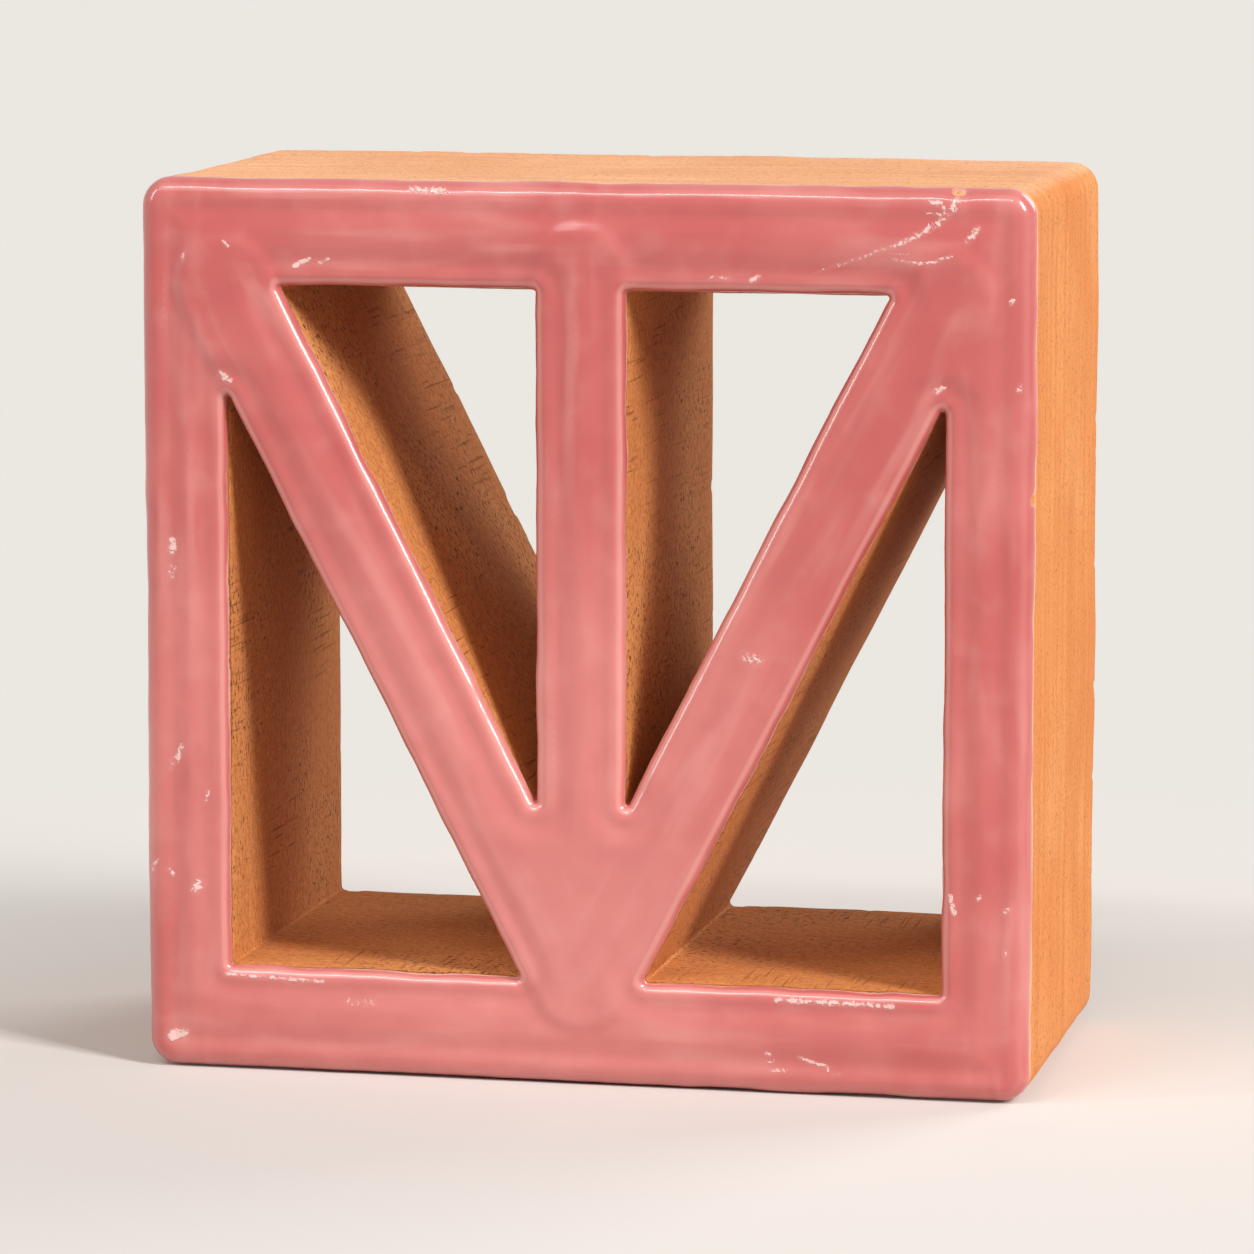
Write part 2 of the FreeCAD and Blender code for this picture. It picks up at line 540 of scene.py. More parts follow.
def glaze_chips(places):
    """How far each point is moved towards bare clay by the chips along the glaze's edge."""
    bare = np.zeros(len(places))
    for x, y, z, radius in GLAZE_CHIPS:
        away = np.linalg.norm(places - np.array([x, y, z]) * MM, axis=1) / (radius * MM)
        bare = np.maximum(bare, np.exp(-away ** 2))
    return bare * CHIP_REACH


def fan_build_up(flat):
    """The thicker glaze on the fan's bars, which runs on over the frame in rounded ends, from 0 to 1."""
    foot, top = (0, FOOT_Z), HEIGHT - HEAD
    ends = (WIDTH / 2 - JAMB, top)
    proud = np.zeros(len(flat))
    upright = ((0, POOL_START), (0, top + POOL_OVER_HEAD), MULLION)
    bars = (((-ends[0], ends[1]), foot, STRUT), (ends, foot, STRUT), upright)
    for start, end, width in bars:
        share = np.clip((width / 2 + FAN_SPREAD - near_segment(flat, start, end)) / FAN_EDGE, 0, 1)
        proud = np.maximum(proud, share * share * (3 - 2 * share))
    return proud


def add_walls(block, loop, grain_start):
    """The walls along one outline. Returns the indices of its first and last ring."""
    rounding = (LIP_WIDTH, LIP_DEPTH, LIP_FLATNESS) if loop.is_opening else (RIM_RADIUS, RIM_RADIUS, 1.0)
    stations, arc_steps = wall_profile(*rounding)
    count = len(loop.points)
    steps = [math.dist(a, b) for a, b in zip(stations, stations[1:])]
    runs = np.concatenate([[0.0], np.cumsum(steps)])
    reach = runs[arc_steps] - (LIP_BARE if loop.is_opening else RIM_BARE)
    rings = []
    for (inward, depth), run in zip(stations, runs):
        flat = loop.offset(inward)
        places = np.column_stack([flat[:, 0], np.full(count, FRONT_Y + depth), flat[:, 1]])
        first = block.vertices(places, run - reach, 0.0, DEPTH - depth, float(loop.is_opening))
        rings.append(first)
    for k in range(len(stations) - 1):
        for j in range(count):
            nxt = (j + 1) % count
            corners = [(k, j, j), (k + 1, j, j), (k + 1, nxt, j + 1), (k, nxt, j + 1)]
            if loop.is_opening:
                corners.reverse()
            block.faces.append([rings[r] + c for r, c, _ in corners])
            block.face_maps.append([(grain_start + loop.run[m], stations[r][1]) for r, _, m in corners])
    return rings[0], rings[-1]


def add_face(block, loops, rings, inwards, y, pitch, is_front):
    """The flat front or back face, stitched to the walls' first or last rings."""
    outlines = [loop.offset(inward) for loop, inward in zip(loops, inwards)]
    grid, triangles = pierced_face(outlines, pitch)
    owners = np.concatenate([first + np.arange(len(outline)) for first, outline in zip(rings, outlines)])
    room = distance_to_loops(grid, outlines)
    places = np.column_stack([grid[:, 0], np.full(len(grid), y), grid[:, 1]])
    if is_front:
        first = block.vertices(places, -room - LIP_DEPTH, room, DEPTH)
    else:
        first = block.vertices(places, DEPTH, 0.0, 0.0, BACK_LIKENESS)
    owners = np.concatenate([owners, first + np.arange(len(grid))])
    flat = np.concatenate(outlines + [grid])
    for triangle in triangles:
        corners = list(triangle) if is_front else list(reversed(triangle))
        block.faces.append([int(owners[i]) for i in corners])
        block.face_maps.append([(float(flat[i][0]), float(flat[i][1]) + WIDTH) for i in corners])


def block_mesh():
    """The whole block as one closed mesh."""
    block = BlockMesh()
    loops = block_loops()
    front_rings, back_rings, grain_start = [], [], 0.0
    for loop in loops:
        first, last = add_walls(block, loop, grain_start)
        front_rings.append(first)
        back_rings.append(last)
        grain_start += loop.run[-1]
    rounding = [LIP_WIDTH if loop.is_opening else RIM_RADIUS for loop in loops]
    add_face(block, loops, front_rings, rounding, FRONT_Y, FRONT_PITCH, True)
    add_face(block, loops, back_rings, [BACK_ARRIS] * len(loops), BACK_Y, BACK_PITCH, False)
    return block.finish("screen_block_glazed")


# Relief of the glaze and the clay

RELIEF_INPUTS = {
    "Glaze Thickness": 0.35 * MM,
    "Glaze Crown": 0.85 * MM,
    "Crown Room": 7.0 * MM,
    "Bead Height": 0.3 * MM,
    "Bead Room": 2.2 * MM,
    "Pool Height": 0.85 * MM,
    "Edge Height": 1.5 * MM,
    "Edge Length": 11.0 * MM,
    "Swell Height": 0.55 * MM,
    "Swell Length": 24.0 * MM,
    "Ripple Height": 0.16 * MM,
    "Ripple Length": 7.0 * MM,
    "Stroke Height": 0.16 * MM,
    "Mist Length": 27.0 * MM,
    "Clay Height": 0.9 * MM,
    "Clay Length": 45.0 * MM,
    "Chip Height": 1.1 * MM,
    "Chip Length": 5.0 * MM,
    "Seed": 4.0,
}

# Where the glaze ends, is full and has its bead, past its edge, and where its crown starts, from the outlines
GLAZE_ENDS, GLAZE_FULL, BEAD_FULL = (0.6 * MM, -0.6 * MM), (0.3 * MM, -1.6 * MM), (-0.5 * MM, -4.5 * MM)
CROWN_START = 1.2 * MM

# Where the back edges chip, and where the clay of an opening grows calm, from the back and past the glaze
ARRIS_BAND, CALM_FROM_BACK, CALM_PAST_GLAZE = (2.6 * MM, 0.2 * MM), (1 * MM, 6 * MM), 3 * MM
CALM_SHARE = 0.45

# Each scale of unevenness with its finer detail, in the order of their seeds
UNEVENNESS = (("Edge", 2), ("Swell", 1), ("Ripple", 1), ("Clay", 2), ("Chip", 2), ("Mist", 2))


def wandering(node, given, place):
    """A smooth noise from 0 to 1 for each scale of unevenness."""
    noises = {}
    for turn, (name, detail) in enumerate(UNEVENNESS):
        scale = node(MATH, {0: 1.0, 1: given[name + " Length"]}, operation="DIVIDE")
        seed = node(MATH, {0: given["Seed"], 1: float(turn)}, **ADD)
        inputs = {"Vector": place, "W": seed, "Scale": scale, "Detail": detail}
        noises[name] = node(NOISE, inputs, noise_dimensions="4D")
    return noises


def brush_strokes(node, place):
    """A noise from 0 to 1, drawn out along the bar that a point is on."""
    tilt = strut_tilt()
    strokes = []
    for turn in (math.pi / 2, 0.0, tilt, -tilt):
        turned = node("ShaderNodeVectorRotate", {"Vector": place, "Axis": (0, 1, 0), "Angle": turn})
        drawn = node("ShaderNodeVectorMath", {0: turned, 1: STROKE_SIZE}, operation="DIVIDE")
        strokes.append(node(NOISE, {"Vector": drawn, "Scale": 1.0, "Detail": 2.0, "Distortion": 0.3}))
    brush = node("GeometryNodeInputNamedAttribute", {"Name": "brush"}, data_type="FLOAT_VECTOR")
    stroke = strokes[0]
    for axis, other in zip("XYZ", strokes[1:]):
        share = node(SPLIT, {0: brush}, axis)
        stroke = node(MIX, {"Factor": share, 2: stroke, 3: other}, **NUMBERS)
    return stroke


def glaze_swell(node, given, known, waves, edge_run):
    """The glaze's height: crowned over bars, beaded along lips, thicker on the fan, thin at its edge."""
    room = known["front_room"]
    full = node(RANGE, {"Value": edge_run, "From Min": GLAZE_FULL[0], "From Max": GLAZE_FULL[1]}, **SMOOTH)
    crown = node(RANGE, {"Value": room, "From Min": CROWN_START, "From Max": given["Crown Room"]}, **SMOOTH)
    bead = node(RANGE, {"Value": room, "From Min": given["Bead Room"], "From Max": 0.0}, **SMOOTH)
    runs_out = node(RANGE, {"Value": edge_run, "From Min": BEAD_FULL[0], "From Max": BEAD_FULL[1]}, **SMOOTH)
    bead = node(MATH, {0: bead, 1: runs_out}, **TIMES)
    glaze = node(MATH, {0: waves["Swell"], 1: waves["Ripple"]}, **ADD)
    glaze = node(MATH, {0: glaze, 1: waves["Stroke"]}, **ADD)
    layers = (
        (full, "Glaze Thickness"), (crown, "Glaze Crown"),
        (bead, "Bead Height"), (known["pooled"], "Pool Height"),
    )
    for share, name in layers:
        glaze = node(MATH, {0: share, 1: given[name], 2: glaze}, **TIMES_ADD)
    return glaze


def clay_wander(node, given, known, noises, waves, edge_run):
    """The clay's height, with its chipped back edges, and the room that it keeps inside the block's box.

    Deep inside the openings the clay wanders less and needs no room, so that its corners stay sharp.
    """
    back = known["from_back"]
    at_arris = node(RANGE, {"Value": back, "From Min": ARRIS_BAND[0], "From Max": ARRIS_BAND[1]}, **SMOOTH)
    broken = node(RANGE, {"Value": noises["Chip"], "From Min": 0.58, "From Max": 0.75}, **SMOOTH)
    chips = node(MATH, {0: at_arris, 1: broken}, **TIMES)
    chips = node(MATH, {0: chips, 1: given["Chip Height"]}, **TIMES)
    deep = node(RANGE, {"Value": edge_run, "From Max": CALM_PAST_GLAZE}, **SMOOTH)
    near, far = CALM_FROM_BACK
    off_back = node(RANGE, {"Value": back, "From Min": near, "From Max": far}, **SMOOTH)
    deep = node(MATH, {0: deep, 1: off_back}, **TIMES)
    deep = node(MATH, {0: deep, 1: known["inner"]}, **TIMES)
    calm = node(RANGE, {"Value": deep, "To Min": 1.0, "To Max": CALM_SHARE})
    room = node(RANGE, {"Value": deep, "To Min": CLAY_ROOM, "To Max": 0.0})
    clay = node(MATH, {0: waves["Clay"], 1: calm}, **TIMES)
    return node(MATH, {0: clay, 1: chips}, operation="SUBTRACT"), room


def relief_tree(material):
    """Swells the glaze over the bars, thins it at its edge, and lets the clay wander and chip."""
    tree = bpy.data.node_groups.new("glaze_and_clay_relief", "GeometryNodeTree")
    tree.interface.new_socket("Geometry", in_out="INPUT", socket_type="NodeSocketGeometry")
    for name in RELIEF_INPUTS:
        tree.interface.new_socket(name, in_out="INPUT", socket_type="NodeSocketFloat")
    tree.interface.new_socket("Geometry", in_out="OUTPUT", socket_type="NodeSocketGeometry")
    node = partial(add, tree)
    given = tree.nodes.new("NodeGroupInput").outputs
    place = node("GeometryNodeInputPosition")
    known = {}
    for name in ("past_edge", "front_room", "from_back", "pooled", "inner"):
        known[name] = node("GeometryNodeInputNamedAttribute", {"Name": name}, **NUMBERS)
    noises = wandering(node, given, place)
    noises["Stroke"] = brush_strokes(node, place)
    waves = {}
    for name in ("Edge", "Swell", "Ripple", "Clay", "Stroke"):
        both_ways = node(RANGE, {"Value": noises[name], "To Min": -1.0})
        waves[name] = node(MATH, {0: both_ways, 1: given[name + " Height"]}, **TIMES)

    edge_run = node(MATH, {0: known["past_edge"], 1: waves["Edge"]}, **ADD)
    cover = node(RANGE, {"Value": edge_run, "From Min": GLAZE_ENDS[0], "From Max": GLAZE_ENDS[1]}, **SMOOTH)
    glaze = glaze_swell(node, given, known, waves, edge_run)
    clay, room = clay_wander(node, given, known, noises, waves, edge_run)
    height = node(MIX, {"Factor": cover, 2: clay, 3: glaze}, **NUMBERS)
    height = node(MATH, {0: height, 1: room}, operation="SUBTRACT")
    normal = node("GeometryNodeInputNormal")
    shift = node("ShaderNodeVectorMath", {0: normal, "Scale": height}, operation="SCALE")

    # The finish follows the same edge, strokes and noises as the relief
    shape = given["Geometry"]
    kept = {
        "edge_run": edge_run, "stroke": noises["Stroke"], "mist": noises["Mist"], "cloud": noises["Clay"],
        "mottle": noises["Ripple"],
    }
    for name, value in kept.items():
        inputs = {"Geometry": shape, "Name": name, "Value": value}
        shape = node("GeometryNodeStoreNamedAttribute", inputs, data_type="FLOAT", domain="POINT")
    moved = node("GeometryNodeSetPosition", {"Geometry": shape, "Offset": shift})
    real = node("GeometryNodeRealizeInstances", {"Geometry": moved})
    dressed = node("GeometryNodeSetMaterial", {"Geometry": real, "Material": material})
    tree.links.new(dressed, tree.nodes.new("NodeGroupOutput").inputs[0])
    return tree


def with_relief(mesh, material):
    """A new block object whose relief is worked into its mesh."""
    rough = bpy.data.objects.new("rough_block", mesh)
    bpy.context.scene.collection.objects.link(rough)
    tree = relief_tree(material)
    modifier = rough.modifiers.new("relief", "NODES")
    modifier.node_group = tree
    for item in tree.interface.items_tree:
        if item.in_out == "INPUT" and item.name in RELIEF_INPUTS:
            modifier[item.identifier] = RELIEF_INPUTS[item.name]
    evaluated = rough.evaluated_get(bpy.context.evaluated_depsgraph_get())
    made = bpy.data.meshes.new_from_object(evaluated)
    made.name = "screen_block_glazed"
    bpy.data.objects.remove(rough)
    block = bpy.data.objects.new("screen_block_glazed", made)
    bpy.context.scene.collection.objects.link(block)
    return block


# Finish


def surface_facts(node):
    """What the finish needs to know at each point of the surface."""
    known = {
        "place": node("ShaderNodeTexCoord", output="Object"),
        "along_wall": node("ShaderNodeUVMap", uv_map="clay_grain"),
        "crawl": node("ShaderNodeAttribute", output="Vector", attribute_name="crawl"),
    }
    for name in ("edge_run", "stroke", "mist", "cloud", "inner", "mottle", "pooled"):
        known[name] = node("ShaderNodeAttribute", output="Fac", attribute_name=name)
    known["x"], known["z"] = (node(SPLIT, {0: known["place"]}, axis) for axis in "XZ")
    normal = node("ShaderNodeNewGeometry", output="Normal")
    known["facing_back"], known["facing_up"] = (node(SPLIT, {0: normal}, axis) for axis in "YZ")
    return known


def clay_patterns(node, known):
    """Drag streaks, torn grain, grit, open pits and scores across the walls, each from 0 to 1."""
    wall = known["along_wall"]
    sizes = {"drag": DRAG_SIZE, "grain": GRAIN_SIZE, "pit": PIT_SIZE, "score": SCORE_SIZE}
    drawn = {name: node(MAPPING, {"Vector": wall, "Scale": size}, **ALONG) for name, size in sizes.items()}
    along = {"Vector": drawn["drag"], "Scale": 1.0, "Detail": 3.0, "Roughness": 0.42, "Distortion": 0.25}
    streaks = node(NOISE, along)
    grain = node(NOISE, {"Vector": drawn["grain"], "Scale": 1.0, "Detail": 3.0, "Roughness": 0.7})
    grit = node(NOISE, {"Vector": known["place"], "Scale": 1 / GRIT_SIZE, "Detail": 1.0})

    pits = node(NOISE, {"Vector": drawn["pit"], "Scale": 1.0, "Detail": 1.0})
    pits = node(RANGE, {"Value": pits, "From Min": 0.61, "From Max": 0.69}, **SMOOTH)
    pit_place = node(RANGE, {"Value": known["mist"], "From Min": 0.44, "From Max": 0.6}, **SMOOTH)
    pit_share = node(RANGE, {"Value": known["inner"], "To Min": 0.2})
    pits = node(MATH, {0: pits, 1: pit_place}, **TIMES)
    pits = node(MATH, {0: pits, 1: pit_share}, **TIMES)

    scores = node(NOISE, {"Vector": drawn["score"], "Scale": 1.0, "Detail": 1.0})
    scores = node(RANGE, {"Value": scores, "From Min": 0.62, "From Max": 0.70}, **SMOOTH)
    cloudy = {"Value": known["cloud"], "From Min": 0.46, "From Max": 0.6, "To Max": 0.6}
    score_place = node(RANGE, cloudy, **SMOOTH)
    scores = node(MATH, {0: scores, 1: score_place}, **TIMES)
    return streaks, grain, grit, pits, scores


def clay_colour(node, known, patterns):
    """Clay streaked along the drag outside, torn within the openings, with clouds and specks, light painted
    on the top face, and shade painted into its pits and scores.
    """
    streaks, grain, grit, pits, scores = patterns
    grainy = node(MIX, {"Factor": 0.35, 2: streaks, 3: grain}, **NUMBERS)
    light = node(RANGE, {"Value": grainy, "From Min": 0.36, "From Max": 0.64})
    patchy = {"Value": known["mist"], "From Min": 0.36, "From Max": 0.6, "To Min": 0.25, "To Max": 0.55}
    dragged = node(RANGE, patchy, **SMOOTH)
    light = node(MIX, {"Factor": dragged, 2: 0.5, 3: light}, **NUMBERS)
    outside = node(MIX, {"Factor": light, 6: OUTER_DARK, 7: OUTER_LIGHT}, 2, **COLOURS)
    # Painted light: faces turned upwards are lightened, as if lit from above
    top_light = node(RANGE, {"Value": known["facing_up"], "From Min": 0.6, "From Max": 0.95})
    top_light_share = node(RANGE, {"Value": light, "To Min": 0.3, "To Max": 0.75})
    top_light = node(MATH, {0: top_light, 1: top_light_share}, **TIMES)
    outside = node(MIX, {"Factor": top_light, 6: outside, 7: PAINTED_TOP_LIGHT}, 2, **COLOURS)

    grainy = node(MIX, {"Factor": 0.85, 2: streaks, 3: grain}, **NUMBERS)
    light = node(RANGE, {"Value": grainy, "From Min": 0.28, "From Max": 0.72})
    within = node(MIX, {"Factor": light, 6: INNER_DARK, 7: INNER_LIGHT}, 2, **COLOURS)
    # Painted shade: the scores are darkened in their grooves
    within = node(MIX, {"Factor": scores, 6: within, 7: SCORE_SHADE}, 2, **COLOURS)
    clay = node(MIX, {"Factor": known["inner"], 6: outside, 7: within}, 2, **COLOURS)
    speck_share = node(RANGE, {"Value": known["inner"], "To Min": 0.5, "To Max": 0.6})

    # What each tint follows, from where to where, its share when full, and its colour
    tints = (
        (known["cloud"], 0.4, 0.75, 0.35, CLOUD_DARK),
        (known["mist"], 0.45, 0.75, 0.3, CLOUD_LIGHT),
        (grit, 0.60, 0.70, speck_share, SPECK_DARK),
        # Painted shade: the pits are darkened
        (pits, 0.0, 1.0, 0.85, PIT_SHADE),
    )
    for value, low, high, share, colour in tints:
        amount = node(RANGE, {"Value": value, "From Min": low, "From Max": high, "To Max": share})
        clay = node(MIX, {"Factor": amount, 6: clay, 7: colour}, 2, **COLOURS)
    return clay


def clay_relief(node, known, patterns):
    """The clay's fine height, in metres."""
    streaks, grain, grit, pits, scores = patterns
    drag_depth = node(RANGE, {"Value": known["inner"], "To Min": DRAG_OUTSIDE, "To Max": DRAG_WITHIN})
    height = node(MATH, {0: streaks, 1: drag_depth}, **TIMES)
    scored = node(MATH, {0: scores, 1: known["inner"]}, **TIMES)
    depths = ((grain, GRAIN_HEIGHT), (grit, GRIT_HEIGHT), (pits, -PIT_DEPTH), (scored, -SCORE_DEPTH))
    for pattern, depth in depths:
        height = node(MATH, {0: pattern, 1: depth, 2: height}, **TIMES_ADD)
    return height


def crawl_flecks_and_glints(node, known):
    """Where the glaze crawled: a pale sheen painted round each mark, and the ragged raised flecks on it,
    painted pale as highlights, each from 0 to 1.
    """
    across, past, strength = (node(SPLIT, {0: known["crawl"]}, axis) for axis in "XYZ")
    spread = node(MATH, {0: across, 1: across}, **TIMES)
    spread = node(MATH, {0: past, 1: past, 2: spread}, **TIMES_ADD)
    fading = node(MATH, {0: spread, 1: -1.0}, **TIMES)
    fading = node(MATH, {0: fading}, operation="EXPONENT")
    crawl = node(MATH, {0: fading, 1: strength}, **TIMES)
    crumbled = {"Vector": known["place"], "Scale": 1 / CRUMB_SIZE, "Detail": 2.0, "Distortion": 0.4}
    crumbs = node(NOISE, crumbled)
    flecks_and_glints = node(MATH, {0: crumbs, 1: CRUMB_SHARE, 2: crawl}, **TIMES_ADD)
    flecks_and_glints = node(RANGE, {"Value": flecks_and_glints, "From Min": 1.32, "From Max": 1.70}, **SMOOTH)
    crawl_sheen = node(RANGE, {"Value": crawl, "From Min": 0.15, "From Max": 0.7}, **SMOOTH)
    return crawl_sheen, flecks_and_glints


def glaze_colour(node, known, crawl_sheen, flecks_and_glints):
    """Cloudy rose, deeper on the head, paler lower down, brushed along each bar, with painted highlights on a
    lip's crest and on the crawled marks.
    """
    pale = node(RANGE, {"Value": known["mist"], "From Min": 0.35, "From Max": 0.7}, **SMOOTH)
    glaze = node(MIX, {"Factor": pale, 6: ROSE_DEEP, 7: ROSE_PALE}, 2, **COLOURS)
    off_middle = node(MATH, {0: known["x"], 1: LOW_MIDDLE}, operation="SUBTRACT")
    off_middle = node(MATH, {0: off_middle}, operation="ABSOLUTE")
    middle = node(RANGE, {"Value": off_middle, "From Min": LOW_FADE[0], "From Max": LOW_FADE[1]}, **SMOOTH)

    # What each tint follows, from where to where, its share when full, where it is let in, and its colour
    tints = (
        (known["z"], *HEAD_BAND, 0.42, 1.0, HEAD_ROSE),
        (known["z"], *LOW_BAND, 0.5, middle, LOW_ROSE),
        (known["z"], *FOOT_BAND, 0.2, known["pooled"], FOOT_ROSE),
        (known["stroke"], 0.47, 0.72, 0.33, 1.0, STREAK_PALE),
        (known["stroke"], 0.45, 0.22, 0.4, 1.0, STREAK_DEEP),
        (known["mottle"], 0.5, 0.75, 0.1, 1.0, MOTTLE_PALE),
        (known["mottle"], 0.5, 0.25, 0.13, 1.0, MOTTLE_DEEP),
    )
    for value, low, high, share, where, colour in tints:
        amount = node(RANGE, {"Value": value, "From Min": low, "From Max": high, "To Max": share}, **SMOOTH)
        amount = node(MATH, {0: amount, 1: where}, **TIMES)
        glaze = node(MIX, {"Factor": amount, 6: glaze, 7: colour}, 2, **COLOURS)

    # The crest of a lip or of the rim lies past the flat face and before the wall; it is painted pale as a
    # highlight
    past_face = node(RANGE, {"Value": known["facing_back"], "From Min": -0.97, "From Max": -0.85}, **SMOOTH)
    before_wall = node(RANGE, {"Value": known["facing_back"], "From Min": -0.6, "From Max": -0.78}, **SMOOTH)
    crest_highlight = node(MATH, {0: past_face, 1: before_wall}, **TIMES)
    lip_share = node(RANGE, {"Value": known["inner"], "To Min": 0.1, "To Max": 0.3})
    # Painted sheen and highlights on the crawled marks, and a painted highlight on the crests
    for pattern, share, colour in (
        (crawl_sheen, 0.08, CRAWL_SHEEN), (flecks_and_glints, 0.66, CRAWL_GLINT), (crest_highlight, lip_share, CREST_HIGHLIGHT),
    ):
        amount = node(MATH, {0: pattern, 1: share}, **TIMES)
        glaze = node(MIX, {"Factor": amount, 6: glaze, 7: colour}, 2, **COLOURS)
    return glaze


def coat_edge(node, known, clay, glaze):
    """How far the coat covers the clay, with a ragged edge, and both colours as they change there.

    The coat breaks pale where it thins out. Beside it, pale slip is left on the outer clay, and the clay of
    the openings is darker in a thin line.
    """
    rags = node(NOISE, {"Vector": known["place"], "Scale": 1 / RAG_SIZE, "Detail": 2.0})
    ragged = node(MATH, {0: rags, 1: RAG_REACH, 2: known["edge_run"]}, **TIMES_ADD)
    cover = node(RANGE, {"Value": ragged, "From Min": COAT_ENDS[0], "From Max": COAT_ENDS[1]}, **SMOOTH)
    thinning = {"Value": ragged, "From Min": COAT_THINS[0], "From Max": COAT_THINS[1], "To Max": 0.6}
    thin = node(RANGE, thinning, **SMOOTH)
    glaze = node(MIX, {"Factor": thin, 6: glaze, 7: EDGE_PALE}, 2, **COLOURS)
    outer = node(MATH, {0: 1.0, 1: known["inner"]}, operation="SUBTRACT")
    for (far, near), share, where, colour in (
        (SLIP_BAND, 0.5, outer, EDGE_SLIP), (DARK_LINE_BAND, 0.7, known["inner"], EDGE_DARK_LINE),
    ):
        amount = node(RANGE, {"Value": ragged, "From Min": far, "From Max": near, "To Max": share}, **SMOOTH)
        amount = node(MATH, {0: amount, 1: where}, **TIMES)
        clay = node(MIX, {"Factor": amount, 6: clay, 7: colour}, 2, **COLOURS)
    return cover, clay, glaze


def glazed_terracotta():
    """Fired terracotta, dragged through its die, with a thick brushed coat of glossy pink glaze on the front.

    The clay is matt and streaked along its drag marks, with small open pits. The glaze is a glassy coat
    over a pink body, cloudy along the brush, and breaks pale where it thins out over the edge. Highlights are
    painted on the crawled marks and crests, light on the top face, and shade in the pits and scores.
    """
    material = bpy.data.materials.new("glazed_terracotta")
    material.use_nodes = True
    tree = material.node_tree
    tree.nodes.clear()
    node = partial(add, tree)
    known = surface_facts(node)
    patterns = clay_patterns(node, known)
    crawl_sheen, flecks_and_glints = crawl_flecks_and_glints(node, known)
    clay = clay_colour(node, known, patterns)
    glaze = glaze_colour(node, known, crawl_sheen, flecks_and_glints)
    cover, clay, glaze = coat_edge(node, known, clay, glaze)
    colour = node(MIX, {"Factor": cover, 6: clay, 7: glaze}, 2, **COLOURS)
    rough = node(MIX, {"Factor": cover, 2: CLAY_ROUGHNESS, 3: GLAZE_ROUGHNESS}, **NUMBERS)
    gloss = node(MATH, {0: cover, 1: COAT_SHARE}, **TIMES)

    clay_height = clay_relief(node, known, patterns)
    glaze_height = node(MATH, {0: flecks_and_glints, 1: FLECK_HEIGHT}, **TIMES)
    starts, full = BUMP_ENDS
    coated = node(RANGE, {"Value": known["edge_run"], "From Min": starts, "From Max": full}, **SMOOTH)
    height = node(MIX, {"Factor": coated, 2: clay_height, 3: glaze_height}, **NUMBERS)
    bump = node("ShaderNodeBump", {"Height": height, "Distance": 1.0, "Strength": 1.0})
    surface = node("ShaderNodeBsdfPrincipled", {
        "Base Color": colour, "Roughness": rough, "Normal": bump,
        "IOR": GLASS_IOR, "Specular IOR Level": SOFT_SHINE,
        "Coat Weight": gloss, "Coat Roughness": COAT_ROUGHNESS, "Coat IOR": GLASS_IOR, "Coat Normal": bump,
    })
    node("ShaderNodeOutputMaterial", {"Surface": surface}, output=None)
    return material


# Floor, light and camera


def pale_floor():
    """A pale floor that keeps the block's shadow near it and fades into the background further out."""
    half = FLOOR_SIZE / 2
    corners = [(-half, -half, 0), (half, -half, 0), (half, half, 0), (-half, half, 0)]
    mesh = bpy.data.meshes.new("floor")
    mesh.from_pydata(corners, [], [(0, 1, 2, 3)])
    floor = bpy.data.objects.new("floor", mesh)
    bpy.context.scene.collection.objects.link(floor)
    material = bpy.data.materials.new("pale_studio_floor")
    material.use_nodes = True
    tree = material.node_tree
    tree.nodes.clear()
    node = partial(add, tree)
    place = node("ShaderNodeTexCoord", output="Object")
    away = node("ShaderNodeVectorMath", {0: place}, "Value", operation="LENGTH")
    fade = node(RANGE, {"Value": away, "From Max": FADE_END}, interpolation_type="SMOOTHERSTEP")
    path = tree.nodes.new("ShaderNodeLightPath").outputs
    seen = node(MATH, {0: path["Is Camera Ray"], 1: path["Is Glossy Ray"]}, use_clamp=True, **ADD)
    share = node(MATH, {0: fade, 1: seen}, **TIMES)
    painted = node("ShaderNodeBsdfDiffuse", {"Color": FLOOR_TONE})
    glow = node("ShaderNodeEmission", {"Color": PALE, "Strength": 1.0})
    surface = node("ShaderNodeMixShader", {0: share, 1: painted, 2: glow})
    node("ShaderNodeOutputMaterial", {"Surface": surface}, output=None)
    mesh.materials.append(material)


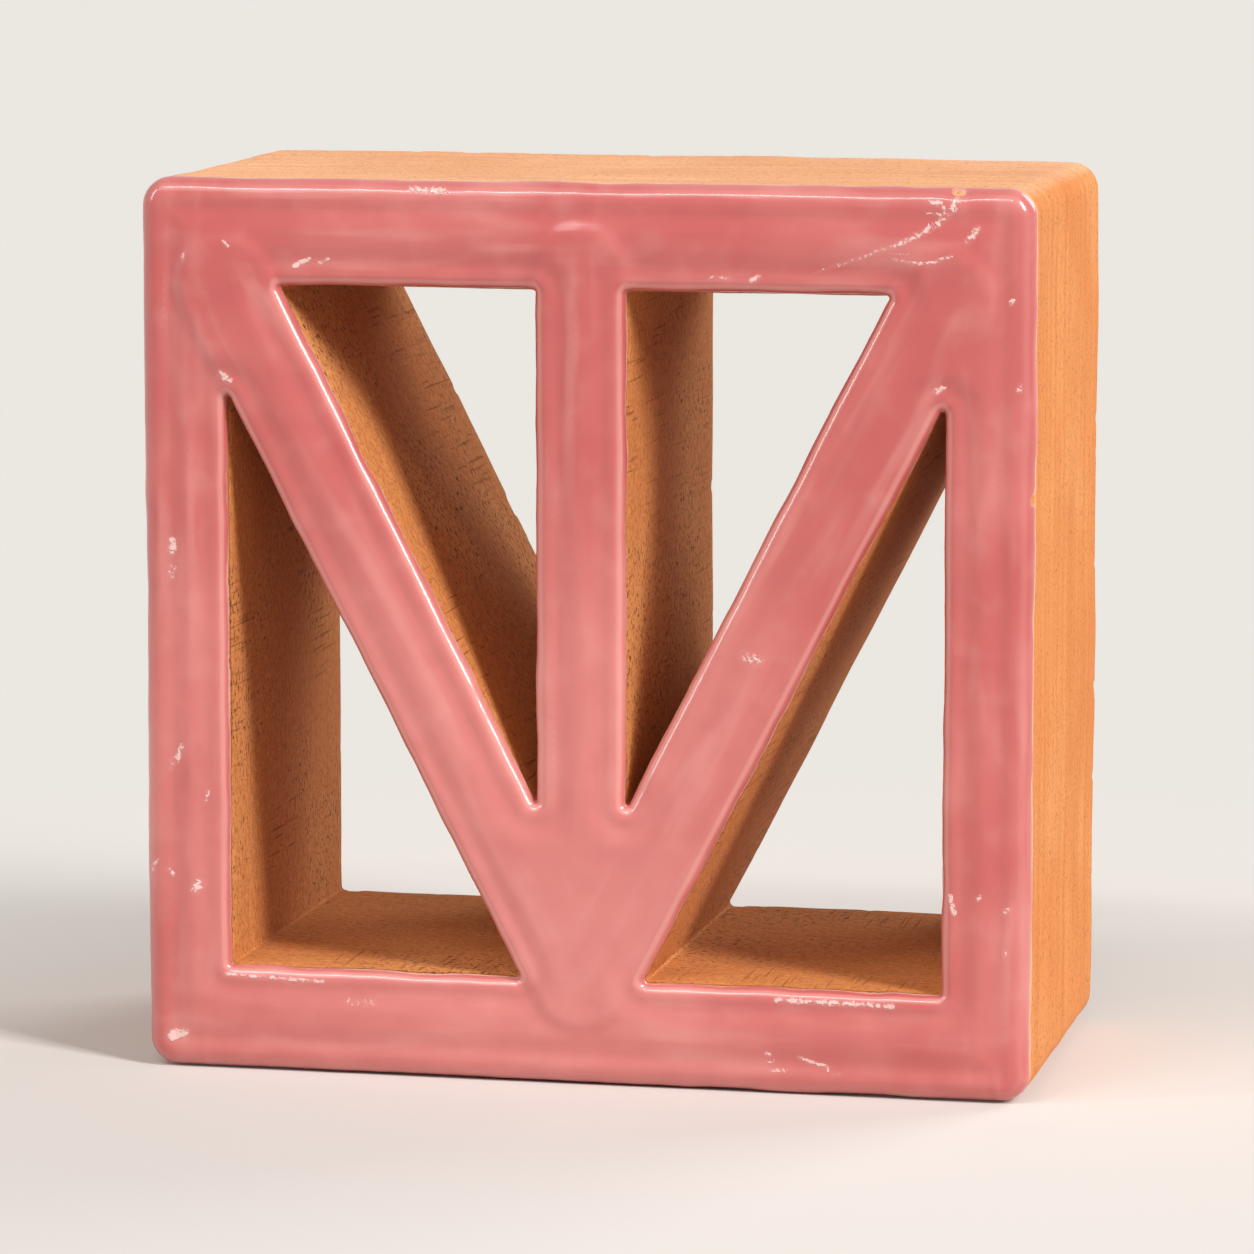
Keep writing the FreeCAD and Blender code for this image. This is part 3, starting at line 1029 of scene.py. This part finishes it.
def soft_world():
    """An even pale surround: as seen, the background; as light, a gentle fill."""
    world = bpy.data.worlds.new("pale_studio")
    bpy.context.scene.world = world
    world.use_nodes = True
    tree = world.node_tree
    tree.nodes.clear()
    node = partial(add, tree)
    path = tree.nodes.new("ShaderNodeLightPath").outputs
    seen = node(MATH, {0: path["Is Camera Ray"], 1: path["Is Glossy Ray"]}, use_clamp=True, **ADD)
    seen = node(MATH, {0: seen, 1: path["Is Transmission Ray"]}, use_clamp=True, **ADD)
    fill = node("ShaderNodeBackground", {"Color": FILL_TONE, "Strength": FILL})
    shown = node("ShaderNodeBackground", {"Color": PALE, "Strength": 1.0})
    both = node("ShaderNodeMixShader", {0: seen, 1: fill, 2: shown})
    node("ShaderNodeOutputWorld", {"Surface": both}, output=None)


def look_from(holder, aim, azimuth, elevation, distance):
    """Stands a lamp or camera off a point and turns it there. Azimuth 0 is in front, 90 to the right."""
    a, e = math.radians(azimuth), math.radians(elevation)
    away = Vector((math.sin(a) * math.cos(e), -math.cos(a) * math.cos(e), math.sin(e)))
    holder.location = aim + away * distance
    holder.rotation_euler = (-away).to_track_quat("-Z", "Y").to_euler()


def soft_box(name, azimuth, elevation, size, power):
    """A lamp of a given width and height that looks at the block's middle."""
    lamp = bpy.data.lights.new(name, "AREA")
    lamp.shape = "RECTANGLE"
    lamp.size, lamp.size_y = size
    lamp.energy = power
    holder = bpy.data.objects.new(name, lamp)
    bpy.context.scene.collection.objects.link(holder)
    look_from(holder, Vector((0, 0, HEIGHT / 2)), azimuth, elevation, LAMP_DISTANCE)


def photo_camera():
    """The photograph's viewing angle, close enough for one block to fill the frame."""
    data = bpy.data.cameras.new("camera")
    data.sensor_width = SENSOR
    data.lens = SENSOR * VIEW_DISTANCE / (WIDTH * FRAME_SHARE)
    camera = bpy.data.objects.new("camera", data)
    bpy.context.scene.collection.objects.link(camera)
    look_from(camera, Vector((0, 0, HEIGHT * AIM_SHARE)), VIEW_AZIMUTH, VIEW_ELEVATION, VIEW_DISTANCE)
    bpy.context.scene.camera = camera


def main():
    """Builds and dresses the block, then sets the floor, light and camera round it."""
    block = with_relief(block_mesh(), glazed_terracotta())
    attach(block, "root")
    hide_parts("screen_block")
    pale_floor()
    soft_world()
    for lamp in LAMPS:
        soft_box(*lamp)
    photo_camera()
    bpy.context.scene.view_settings.view_transform = "Standard"


main()
